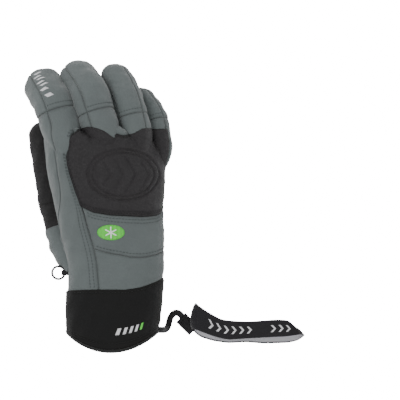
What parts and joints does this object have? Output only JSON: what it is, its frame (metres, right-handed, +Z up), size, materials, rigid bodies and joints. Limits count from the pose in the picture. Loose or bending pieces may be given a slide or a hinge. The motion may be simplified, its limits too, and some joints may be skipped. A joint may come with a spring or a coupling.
{
  "type": "ski glove",
  "caption": "Insulated right-hand ski glove with a softshell back, leather palm, neoprene cuff, clip ring and elastic wrist leash, jointed at the fingers, thumb and wrist.",
  "frame": {"origin": "on the table plane, under the middle of the cuff", "axes": "+Y from cuff to fingertips, +X towards the little finger, +Z up from the table through the back of the hand"},
  "size_m": [0.251, 0.2609, 0.0791],
  "materials": {
    "softshell": "woven stretch softshell, matt",
    "back_leather": "embossed synthetic leather, matt",
    "palm_leather": "fine grained leather, satin",
    "filling": "quilted fibre wadding",
    "fleece": "brushed fleece",
    "neoprene": "neoprene laminated with jersey",
    "binding": "folded elastic binding",
    "badge": "embroidered patch",
    "webbing": "woven webbing",
    "ring_plastic": "moulded",
    "leash_elastic": "woven elastic with a pale inner face"
  },
  "bodies": {
    "hand": {"back_panel": "back_leather", "thumb_side_panel": "softshell", "little_side_panel": "softshell", "wrist_back_panel": "softshell", "palm_panel": "palm_leather", "palm_patch": "back_leather", "palm_welt": "back_leather", "thumb_gusset": "softshell", "knuckle_yoke": "softshell", "hand_insulation": "filling", "hand_lining": "fleece", "badge": "badge"},
    "index_base": {"index_base_back": "softshell", "index_base_palm": "palm_leather", "index_base_fourchettes": "softshell", "index_base_lining": "fleece"},
    "index_tip": {"index_tip_back": "softshell", "index_tip_palm": "palm_leather", "index_tip_lining": "fleece"},
    "middle_base": {"middle_base_back": "softshell", "middle_base_palm": "palm_leather", "middle_base_fourchettes": "softshell", "middle_base_lining": "fleece"},
    "middle_tip": {"middle_tip_back": "softshell", "middle_tip_palm": "palm_leather", "middle_tip_lining": "fleece"},
    "ring_base": {"ring_base_back": "softshell", "ring_base_palm": "palm_leather", "ring_base_fourchettes": "softshell", "ring_base_lining": "fleece"},
    "ring_tip": {"ring_tip_back": "softshell", "ring_tip_palm": "palm_leather", "ring_tip_lining": "fleece"},
    "little_base": {"little_base_back": "softshell", "little_base_palm": "palm_leather", "little_base_fourchettes": "softshell", "little_base_lining": "fleece"},
    "little_tip": {"little_tip_back": "softshell", "little_tip_palm": "palm_leather", "little_tip_lining": "fleece"},
    "thumb_base": {"thumb_base_back": "back_leather", "thumb_base_palm": "palm_leather", "thumb_base_lining": "fleece"},
    "thumb_tip": {"thumb_tip_back": "back_leather", "thumb_tip_palm": "palm_leather", "thumb_tip_lining": "fleece"},
    "cuff": {"gauntlet_back": "softshell", "gauntlet_thumb_side": "softshell", "gauntlet_palm": "softshell", "wrist_elastic": "softshell", "cuff_back": "neoprene", "cuff_palm": "neoprene", "cuff_binding": "binding", "cuff_lining": "fleece", "ring_tape": "webbing"},
    "clip_ring": {"clip_ring": "ring_plastic"},
    "leash": {"leash_strap": "webbing", "leash_tab": "webbing", "leash_band": "leash_elastic"}
  },
  "joints": [
    {"name": "index_knuckle", "type": "hinge", "parent": "hand", "child": "index_base", "pos_m": [-0.044, 0.163, 0.058], "axis": [-0.933, -0.25, 0.2588], "range_deg": [-14, 12], "stiffness_Nm_per_rad": 0.35},
    {"name": "index_middle_joint", "type": "hinge", "parent": "index_base", "child": "index_tip", "pos_m": [-0.05254, 0.18907, 0.05238], "axis": [-0.933, -0.25, 0.2588], "range_deg": [-17, 14.5], "stiffness_Nm_per_rad": 0.25},
    {"name": "middle_knuckle", "type": "hinge", "parent": "hand", "child": "middle_base", "pos_m": [-0.01, 0.17, 0.059], "axis": [-0.9156, -0.2114, 0.342], "range_deg": [-14, 18], "stiffness_Nm_per_rad": 0.35},
    {"name": "middle_middle_joint", "type": "hinge", "parent": "middle_base", "child": "middle_tip", "pos_m": [-0.01839, 0.19717, 0.05333], "axis": [-0.9156, -0.2114, 0.342], "range_deg": [-17, 21.7], "stiffness_Nm_per_rad": 0.25},
    {"name": "ring_knuckle", "type": "hinge", "parent": "hand", "child": "ring_base", "pos_m": [0.0198, 0.166, 0.0468], "axis": [-0.89, -0.1251, 0.4384], "range_deg": [-14, 18], "stiffness_Nm_per_rad": 0.35},
    {"name": "ring_middle_joint", "type": "hinge", "parent": "ring_base", "child": "ring_tip", "pos_m": [0.01346, 0.19277, 0.04157], "axis": [-0.89, -0.1251, 0.4384], "range_deg": [-17, 21.7], "stiffness_Nm_per_rad": 0.25},
    {"name": "little_knuckle", "type": "hinge", "parent": "hand", "child": "little_base", "pos_m": [0.0408, 0.157, 0.0295], "axis": [-0.7431, 0, 0.6691], "range_deg": [-12, 18], "stiffness_Nm_per_rad": 0.35},
    {"name": "little_middle_joint", "type": "hinge", "parent": "little_base", "child": "little_tip", "pos_m": [0.03802, 0.17656, 0.02641], "axis": [-0.7431, 0, 0.6691], "range_deg": [-15, 21.7], "stiffness_Nm_per_rad": 0.25},
    {"name": "thumb_swing", "type": "hinge", "parent": "hand", "child": "thumb_base", "pos_m": [-0.048, 0.082, 0.0134], "axis": [0, 0, 1], "range_deg": [0, 25], "stiffness_Nm_per_rad": 0.3},
    {"name": "thumb_bend", "type": "hinge", "parent": "thumb_base", "child": "thumb_tip", "pos_m": [-0.05394, 0.11953, 0.0134], "axis": [0, 0, -1], "range_deg": [-8, 28], "stiffness_Nm_per_rad": 0.25},
    {"name": "wrist_flex", "type": "hinge", "parent": "hand", "child": "cuff", "pos_m": [0, 0.061, 0.0316], "axis": [1, 0, 0], "range_deg": [-18, 18], "stiffness_Nm_per_rad": 2.5},
    {"name": "ring_swing", "type": "hinge", "parent": "cuff", "child": "clip_ring", "pos_m": [-0.0436, 0.038, 0.028], "axis": [0, 1, 0], "range_deg": [-60, 60]},
    {"name": "leash_swing", "type": "hinge", "parent": "cuff", "child": "leash", "pos_m": [0.0432, -0.014, 0.019], "axis": [0, 0, 1], "range_deg": [-35, 30]}
  ],
  "couplings": [
    {"joint": "index_middle_joint", "follows": "index_knuckle", "ratio": 1.2},
    {"joint": "middle_middle_joint", "follows": "middle_knuckle", "ratio": 1.2},
    {"joint": "ring_middle_joint", "follows": "ring_knuckle", "ratio": 1.2},
    {"joint": "little_middle_joint", "follows": "little_knuckle", "ratio": 1.2}
  ]
}
